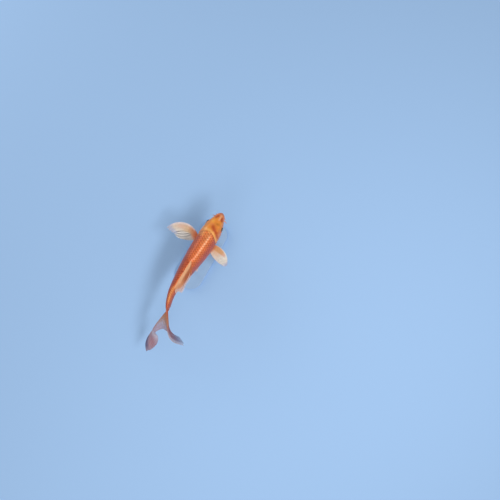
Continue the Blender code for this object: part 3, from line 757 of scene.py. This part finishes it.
def makeFin(name, shape, p, tintAt, clearAt, material):
    # sheet of rays: both faces stand off the middle surface by half the thickness, larger on the rays
    rays, steps = p["rays"], p["steps"]
    columns = rays * p["perRay"] + 1
    u, v = np.meshgrid(np.linspace(0, 1, columns), np.linspace(0, 1, steps) ** 0.9, indexing="xy")
    x, fromEdge = (u * rays) % 1 - 0.5, np.minimum(u, 1 - u)
    ray = np.maximum(rayMask(x, v, p), fade(fromEdge * rays, 0, 0.25))    # the two edges are rays as well
    notch = p["notch"] * (1 - rayMask(x, np.ones_like(v), p)) * v ** 6 * rise(fromEdge * rays, 0, 1.2)
    ragged = p["ragged"] * (0.5 + 0.5 * np.sin(17 * u + 3) * np.sin(41 * u)) * v ** 4
    middle = shape(p, u.ravel(), (v * (1 - notch - ragged)).ravel()).reshape(steps, columns, 3)
    normal = unit(np.cross(np.gradient(middle, axis=1), np.gradient(middle, axis=0)))
    half = 0.5 * (p["edgeThick"] + (p["rootThick"] - p["edgeThick"]) * (1 - v) ** 2)
    half = half * between((p["web"], 1), ray) * (1 - p["thinTips"] * rise(v, 0.8, 0.2))
    half = half * between((p["thinSides"], 1), rise(fromEdge * columns, 0, 3))
    both = [middle + normal * half[..., None], middle - normal * half[..., None]]
    # one closed band round both faces, with lids at the root and at the tips
    points, tint, reach, clear = (
        np.concatenate([top, bottom[:, ::-1]], axis=1)
        for top, bottom in (both, [tintAt(u, v, ray)] * 2, [v] * 2, [clearAt(u, v, ray)] * 2))
    ring = 2 * columns
    lid = np.arange(columns - 1)
    lid = stacked(lid, lid + 1, ring - 2 - lid, ring - 1 - lid)
    quads = np.concatenate([gridQuads(steps, ring, True), lid[:, ::-1], lid + (steps - 1) * ring])
    row, column = gridPlaces(quads, ring)
    uv = stacked(0.01 + 0.98 * column / ring, 0.01 + 0.98 * row / (steps - 1)).reshape(-1, 2)
    return makePiece(name, points.reshape(-1, 3), quads, material, tint=tint.reshape(-1, 3),
                     values={"reach": reach.ravel(), "solid": clear.ravel()}, cornerUv=uv)


def resinFin():
    # thin clear-cast resin over fine rays, dyed and varnished: light passes through the web between the rays
    material, add, spot, tint = startPainted("clear_cast_resin_fin")
    solid = add("Attribute", out="Fac", attribute_name="solid")
    reach = add("Attribute", out="Fac", attribute_name="reach")
    shade = clouded(add, spot, 300, 3, 0.92, 1.06)
    colour = add("VectorMath", {0: tint, "Scale": shade}, operation="SCALE")
    # joints across the rays, 70 from root to edge
    relief = add("Bump", {"Strength": 0.25, "Distance": 0.00006, "Height": waves(add, reach, 440)})
    return finishMaterial(material, add, {
        "Base Color": colour, "Roughness": 0.36, "IOR": 1.45, "Coat Weight": 0.4, "Coat Roughness": 0.12,
        "Alpha": solid, "Normal": relief})


# web is painted shade: the dark seen through the clear web between the left breast fin's rays
finColours = palette(
    orange="#DC7442", salmon="#DC9268", tan="#D6B48E", cream="#DDD0C0", white="#FFF8EE", rose="#DEB09C",
    web="#453E46", mauve="#BFC0D6", blush="#E6D6D6", wedge="#D79C66", peach="#E2B492", apricot="#F4B27C",
    rust="#BA6436", violet="#453A66", tailRoot="#C05F3C", tailTan="#B4845E", tailRose="#B48680",
    tailRust="#9A5054", tailGrey="#7890BA", tailPurple="#A87E94")


finPaint = partial(painted, finColours)


def leftBreastTint(u, v, ray):
    # orange root, then salmon, tan and cream, mauve at the tip; white rays on the rear half with a dark web
    # between them, painted shade of what shows through the clear web
    rays = finPaint("web", [("violet", 0.35 * rise(v, 0.8, 0.2)), ("white", ray)])
    return finPaint("orange", [
        ("salmon", rise(v, 0.12, 0.18)),
        ("tan", rise(v + 0.1 * u, 0.28, 0.22)),
        ("cream", rise(v, 0.46, 0.3) * (0.5 + 0.5 * rise(u, 0, 0.3))),
        ("rose", 0.7 * dab(u, v, (0.14, 0.62), (0.10, 0.14))),
        ("blush", 0.9 * bump(u, 0, 0.07) * rise(v, 0.16, 0.1)),
        ("rose", 0.8 * rise(u, 0.45, 0.2) * bump(v, 0.30, 0.14)),
        (rays, rise(u + 0.2 * (v - 0.5), 0.31, 0.12) * rise(v + 0.12 * u, 0.34, 0.12)),
        ("mauve", 0.8 * rise(v, 0.80, 0.14) * fade(u, 0.30, 0.2))])


def rightBreastTint(u, v, ray):
    # peach base, an ochre and salmon wedge behind the pale front rays, greyish cream with whiter rays
    wedge = rise(u - 0.10 * v, 0, 0.06) * fade(u + 0.40 * v, 0.48, 0.16)
    wedge = wedge * fade(v - 0.1 * bump(u, 0.2, 0.12), 0.50, 0.10)
    return finPaint("cream", [
        ("white", 0.7 * ray * rise(v, 0.2, 0.3)),
        ("blush", 0.7 * np.maximum(rise(u, 0.8, 0.15), rise(v, 0.76, 0.2))),
        ("mauve", 0.8 * rise(v, 0.84, 0.14)),
        ("peach", 0.9 * fade(v - 0.15 * u, 0.14, 0.48) * (1 - 0.5 * rise(u, 0.6, 0.2))),
        (finPaint("wedge", [("rose", rise(v, 0.42, 0.2))]), 0.95 * wedge),
        ("orange", 0.9 * fade(v, 0.08, 0.12))])


def breastClear(u, v, ray):
    # solid at the root, a clear web between the rays towards the rear edge
    web = 1 - 0.30 * rise(v, 0.35, 0.4) * (0.2 + 0.8 * rise(u, 0.25, 0.3))
    tip = 1 - 0.45 * rise(v, 0.80, 0.2) * fade(u, 0.4, 0.3)
    return np.clip(between((web, 1), 0.95 * ray) * tip, 0, 1)


def backTint(u, v, ray):
    # apricot along the root, a painted highlight where the fin folds over, then orange like the flank it lies
    # on, with paler rays and pinkish white tips
    tips = rise(v - 0.14 * bump(u, 0.3, 0.25), 0.58, 0.22) * rise(u, 0.04, 0.12)
    return finPaint("rust", [
        ("salmon", 0.7 * rise(u, 0.45, 0.25)),
        ("apricot", np.maximum(fade(v, 0.32, 0.22), 0.75 * ray * rise(u, 0.3, 0.3))),
        ("blush", tips * (0.1 + 0.9 * ray))])


def unpairedTint(u, v, ray):
    # orange root, paler pink rays towards the edge
    return finPaint("orange", [
        ("peach", rise(v, 0.25, 0.4)), ("blush", 0.75 * rise(v, 0.55, 0.4) + 0.2 * ray * rise(v, 0.3, 0.3))])


def unpairedClear(u, v, ray):
    # the web clears evenly towards the edge
    return np.clip(between((1 - 0.6 * rise(v, 0.4, 0.5), 1), 0.9 * ray), 0, 1)


def tailTint(u, v, ray):
    # orange and tan root; red upper lobe that goes blue grey, rose lower one with a violet edge; paler rays
    upper, middle = rise(u, 0.50, 0.2), bump(u, 0.52, 0.22)
    late = 0.04 * upper + 0.16 * bump(u, 0.60, 0.16)
    return finPaint("tailRoot", [
        ("tailTan", np.maximum(0.8 * middle, 0.5) * rise(v, 0.08, 0.14)),
        (finPaint("tailRose", [("tailRust", upper)]), rise(v - late, 0.30, 0.2) * (1 - 0.6 * middle)),
        ("tailGrey", 0.65 * rise(v, 0.70, 0.22) * upper),
        ("blush", 0.5 * ray * rise(v, 0.2, 0.3) * (1 - 0.8 * upper)),
        ("violet", 0.30 * ray * upper * rise(v, 0.55, 0.2)),
        ("blush", 0.6 * rise(u, 0.88, 0.08) * rise(v, 0.42, 0.15)),
        ("tailPurple", 0.6 * (1 - upper) * rise(v, 0.62, 0.2)),
        ("tailRust", 0.50 * bump(u, 0.13, 0.05) * rise(v, 0.45, 0.2)),
        ("blush", 0.45 * bump(u, 0.25, 0.05) * rise(v, 0.50, 0.2)),
        ("violet", 0.85 * fade(u, 0.03, 0.06) * rise(v, 0.60, 0.16) * (1 - 0.6 * rise(v, 0.88, 0.1)))])


def tailClear(u, v, ray):
    # the web clears towards the fork and the upper tip
    inner, upper = 1 - np.abs(2 * u - 1), rise(u, 0.5, 0.2)
    web = 1 - (0.25 + 0.33 * inner) * rise(v, 0.30, 0.3) - 0.15 * upper * rise(v, 0.55, 0.2)
    web = web - 0.3 * rise(u, 0.86, 0.1) * rise(v, 0.40, 0.15)
    web = web - 0.25 * (1 - upper) * rise(v, 0.55, 0.2) * rise(u, 0.12, 0.1)
    tip = 1 - 0.25 * rise(v, 0.70, 0.3) * upper - 0.25 * rise(v, 0.88, 0.12)
    return np.clip(between((web, 1), 0.75 * ray) * tip, 0, 1)


# what a fin has unless its own dictionary says otherwise
plainFin = dict(
    perRay=14, branchAt=0.35, rayWidth=0.17, ragged=0, rootThick=2, edgeThick=0.6,
    web=0.42, thinTips=0.45, thinSides=0.35,
)
fins = {
    "pectoral_fin_left": (breastFin, leftBreastTint, breastClear, dict(
        side=-1, along=(53, 55.5), out=11.5, up=(-10, -12.5),
        lengths=(68.5, 59.5, 45, 37.5, 31.5, 19),
        leave=(-51.5, 39), bend=(124.5, -19.5), fall=0.16, cup=0.10,
        rays=9, steps=60, notch=0.03, rootThick=2.6, perRay=22, branchAt=0.85, rayWidth=0.31)),
    "pectoral_fin_right": (breastFin, rightBreastTint, breastClear, dict(
        side=1, along=(50, 60.5), out=12, up=(-10, -12.5),
        lengths=(44.5, 43.5, 41, 38.5, 36, 30),
        leave=(-19, 45.5), bend=(91.5, -41), fall=0.80, cup=0.16,
        rays=13, steps=56, notch=0.04, rootThick=2.6, perRay=16, branchAt=0.5)),
    "dorsal_fin": (midlineFin, backTint, unpairedClear, dict(
        span=(83, 134), up=1, rootDepth=2, knots=(0, 0.08, 0.35, 0.65, 0.85, 1),
        lengths=(20, 24, 23.5, 24, 14, 10), rake=(48.5, 43), lean=(66, 76), curl=0.4,
        rays=14, steps=44, notch=0.14, ragged=0.01, perRay=18, branchAt=0.6, rayWidth=0.24)),
    "anal_fin": (midlineFin, unpairedTint, unpairedClear, dict(
        span=(129, 142), up=-1, rootDepth=2, knots=(0, 0.25, 0.6, 1),
        lengths=(20, 27, 20, 14), rake=(52, 40), lean=(4, 12), curl=0.25,
        rays=8, steps=40, notch=0.10)),
    **{"pelvic_fin_" + word: (bellyFin, unpairedTint, unpairedClear, dict(
        side=side, span=(80, 83), out=(7.5, 4.5), down=(17.5, 18.7), lengths=(28, 15),
        leave=(48, 74), bend=12, spread=math.radians(15), rays=9, steps=40, notch=0.10))
       for word, side in (("left", -1), ("right", 1))},
    "tail_fin": (tailFin, tailTint, tailClear, dict(
        root=174, halfHeight=9.4, middle=33, upper=75.5, lower=101.5, round=4.5,
        liftUpper=26, liftLower=21.3,
        rays=22, steps=84, notch=0.016, ragged=0.010, rootThick=2.6)),
}
finMaterial = resinFin()
for name, (shape, tintAt, clearAt, own) in fins.items():
    piece = makeFin("koi_" + name, shape, {**plainFin, **own}, tintAt, clearAt, finMaterial)
    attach(piece, "root")
    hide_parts(*(("tail_fin_upper", "tail_fin_lower") if name == "tail_fin" else (name,)))
    print(name, len(piece.data.polygons), "faces")


# feelers: where each starts along, out and up, how far it reaches each way, and its radius
feelers = dict(
    corner=dict(start=(8.2, 5.6, -5), reach=(2.2, 7, -3.4), radius=0.75),
    lip=dict(start=(4.6, 4.2, -2.2), reach=(1.2, 4.4, -2.8), radius=0.6),
)
feelerMesh = dict(steps=26, sides=14, taper=0.5, tint=fromHex("#E0906A"))


def makeFeelers(material):
    # four tapering tubes: the middle lines curve out, back and down, the radius shrinks to a rounded tip
    steps, sides = feelerMesh["steps"], feelerMesh["sides"]
    t, angle = np.linspace(0, 1, steps), (2 * math.pi * np.arange(sides) / sides)[:, None]
    tubes = [(*p["start"], *p["reach"], p["radius"], side) for p in feelers.values() for side in (-1, 1)]
    startAlong, startOut, startUp, along, out, up, radius, side = np.array(tubes).T[:, :, None]
    out = side * (startOut + out * np.sin(t * math.pi / 2))
    middle = place(startAlong + along * t ** 2, out, startUp + up * t)
    ahead = unit(np.gradient(middle, axis=1))
    first = unit(np.cross(ahead, np.array([0, 0, 1])))
    ring = first[:, :, None] * np.cos(angle) + np.cross(ahead, first)[:, :, None] * np.sin(angle)
    radius = radius * (1 - feelerMesh["taper"] * t) * np.sqrt(np.clip((1.02 - t) / 0.08, 0, 1))
    points = (middle[:, :, None] + ring * radius[..., None, None]).reshape(len(tubes), -1, 3)
    points = np.concatenate([points, middle[:, :1], middle[:, -1:] + ahead[:, -1:] * 0.05], axis=1)
    starts = np.arange(len(tubes))[:, None, None] * points.shape[1]
    quads, tris = starts + gridQuads(steps, sides, True), starts + fanCaps(steps, sides)
    points = points.reshape(-1, 3)
    return makePiece("koi_feelers", points, quads.reshape(-1, 4), material, tris,
                     np.broadcast_to(feelerMesh["tint"], points.shape))


feelerPiece = makeFeelers(skinMaterial)
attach(feelerPiece, "root")
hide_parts("barbel_lip_left", "barbel_lip_right", "barbel_corner_left", "barbel_corner_right")
print("feelers made")


# eyes
eyeLook = dict(
    rows=48, columns=64, bulge=0.12, bulgeWidth=1.9,
    pupilRadius=1.55, ringWidth=0.28, irisRadius=3, behind=5,    # behind the rim it is all edge
    **palette(pupil="#050505", ring="#E9B04A", iris="#5A3A1E", edge="#1A1210"),
)


def makeEye(word, side, material):
    # flattened ball with a slight bulge over the pupil: rings from the outer pole to the inner one
    rows, columns = eyeLook["rows"], eyeLook["columns"]
    fromPole, around = np.meshgrid(
        math.pi * np.linspace(0, 1, rows) ** 1.15, 2 * math.pi * np.arange(columns) / columns, indexing="ij")
    reach = eyeShape["radius"] * np.sin(fromPole)
    bulge = eyeLook["bulge"] * bump(reach, 0, eyeLook["bulgeWidth"]) * (np.cos(fromPole) > 0)
    depth = eyeShape["halfDepth"] * np.cos(fromPole) + bulge
    reach[[0, -1]] = 0.01
    tilt = eyeShape["tilt"]
    high = reach * np.sin(around)
    points = middleOf("eye_" + word) + stacked(
        reach * np.cos(around), side * (depth * math.sin(tilt) - high * math.cos(tilt)),
        depth * math.cos(tilt) + high * math.sin(tilt))
    radial = np.where(np.cos(fromPole) > -0.2, reach, eyeLook["behind"])
    tint = painted(eyeLook, "pupil", [
        ("ring", rise(radial, eyeLook["pupilRadius"], 0.1)),
        ("iris", rise(radial, eyeLook["pupilRadius"] + eyeLook["ringWidth"], 0.35)),
        ("edge", rise(radial, eyeLook["irisRadius"], 0.5))])
    quads, tris = gridQuads(rows, columns, True), fanCaps(rows, columns)
    if side < 0:
        quads, tris = quads[:, ::-1], tris[:, ::-1]
    points, tint = (np.concatenate([a.reshape(-1, 3), a[[0, -1]].mean(1)]) for a in (points, tint))
    return makePiece("koi_eye_" + word, points, quads, material, tris, tint)


def glassEye():
    # lampworked glass eye: black pupil in a bright gold ring, dark amber iris, under polished clear glass
    material, add, spot, tint = startPainted("lampworked_glass_eye")
    shade = clouded(add, spot, 2600, 2, 0.6, 1.4)
    colour = add("VectorMath", {0: tint, "Scale": shade}, operation="SCALE")
    return finishMaterial(material, add, {
        "Base Color": colour, "Roughness": 0.25, "IOR": 1.5, "Coat Weight": 1, "Coat Roughness": 0.02})


eyeMaterial = glassEye()
for word, side in (("left", -1), ("right", 1)):
    eye = makeEye(word, side, eyeMaterial)
    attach(eye, "root")
    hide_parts("eye_" + word)
print("eyes made")


# stand
standLook = dict(paint=opaque("#93B2D6"), paintCloud=opaque("#9DBBDE"), steel=opaque("#B9BCBF"))


def powderPaint():
    # mild steel, powder coated in satin: a faint orange peel 1.5 mm across
    material, add = startMaterial("powder_coated_steel")
    spot = add("TexCoord", out="Object")
    peel = add("TexNoise", {"Vector": spot, "Scale": 700, "Detail": 1})
    cloud = add("TexNoise", {"Vector": spot, "Scale": 40, "Detail": 2})
    colours = {"Factor": cloud, "A": standLook["paint"], "B": standLook["paintCloud"]}
    colour = add("Mix", colours, "Result", data_type="RGBA")
    relief = add("Bump", {"Strength": 0.15, "Distance": 0.0001, "Height": peel})
    return finishMaterial(material, add, {
        "Base Color": colour, "Roughness": 0.42, "IOR": 1.5, "Normal": relief})


def brushedSteel():
    # stainless rod brushed round and round: fine rings 0.3 mm apart
    material, add = startMaterial("brushed_stainless_steel")
    spot = add("TexCoord", out="Object")
    squeezed = add("Mapping", {"Vector": spot, "Scale": (60, 60, 3300)})
    grain = add("TexNoise", {"Vector": squeezed, "Scale": 1, "Detail": 2})
    rough = add("MapRange", ranged(grain, 0.3, 0.7, 0.22, 0.38))
    relief = add("Bump", {"Strength": 0.2, "Distance": 0.00003, "Height": grain})
    return finishMaterial(material, add, {
        "Base Color": standLook["steel"], "Metallic": 1, "Roughness": rough, "Normal": relief})


paint, steel = powderPaint(), brushedSteel()
for node, material in (("stand_base", paint), ("stand_rod_front", steel), ("stand_rod_rear", steel)):
    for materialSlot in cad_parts[node].material_slots:
        materialSlot.material = material
print("stand painted")


# floor, light and camera, in metres
stage = dict(
    floorHalf=4, floorLevel=-0.0002, floor=opaque("#9FC1E8"),
    air=opaque("#E6E8EA"), airStrength=0.66,
    cameraAt=(-0.05007, 0.06880, 0.66169), cameraRight=(-0.5, 0.866025, 0),
    cameraUp=(-0.866025, -0.5, 0), lens=27.04, sensor=36,
    fishMiddle=(0.02, 0, 0.07),
    lamps=dict(    # place, length along X, width and power of each soft box, all aimed at the fish
        key=((-0.04, 0.60, 0.98), 0.80, 0.18, 5.5),
        rear=((0.80, 0.10, 0.75), 0.5, 0.5, 1.4),
        left=((-0.25, -0.98, 0.42), 0.7, 0.6, 2.2)),
)


def plainFloor():
    # matt card, pale blue
    material, add = startMaterial("matt_blue_card")
    return finishMaterial(material, add, {"Base Color": stage["floor"], "Roughness": 0.9})


def putInScene(name, data, position, axes):
    # a lamp or camera with its right, up and backward axes
    thing = bpy.data.objects.new(name, data)
    thing.matrix_world = Matrix.Translation(position) @ Matrix(axes).transposed().to_4x4()
    bpy.context.scene.collection.objects.link(thing)
    return thing


floorCorners = np.array([(-1, -1, 0), (1, -1, 0), (1, 1, 0), (-1, 1, 0)]) * stage["floorHalf"]
floorCorners = (floorCorners + np.array([0, 0, stage["floorLevel"]])) / mm
floor = makePiece("floor", floorCorners, np.arange(4)[None], plainFloor())

cameraData = bpy.data.cameras.new("camera")
cameraData.lens, cameraData.sensor_width, cameraData.clip_start = stage["lens"], stage["sensor"], 0.01
cameraAxes = (stage["cameraRight"], stage["cameraUp"], (0, 0, 1))
bpy.context.scene.camera = putInScene("camera", cameraData, stage["cameraAt"], cameraAxes)

for name, (position, long, wide, power) in stage["lamps"].items():
    lampData = bpy.data.lights.new(name, "AREA")
    lampData.shape, lampData.size, lampData.size_y, lampData.energy = "RECTANGLE", long, wide, power
    away = (Vector(position) - Vector(stage["fishMiddle"])).normalized()
    across = Vector((0, 1, 0)).cross(away).normalized()
    putInScene(name, lampData, position, (across, away.cross(across), away))
world = bpy.data.worlds.new("studio")
world.use_nodes = True
air = world.node_tree.nodes["Background"]
air.inputs["Color"].default_value, air.inputs["Strength"].default_value = stage["air"], stage["airStrength"]
bpy.context.scene.world = world
bpy.context.scene.view_settings.view_transform = "Standard"
print("stage set")
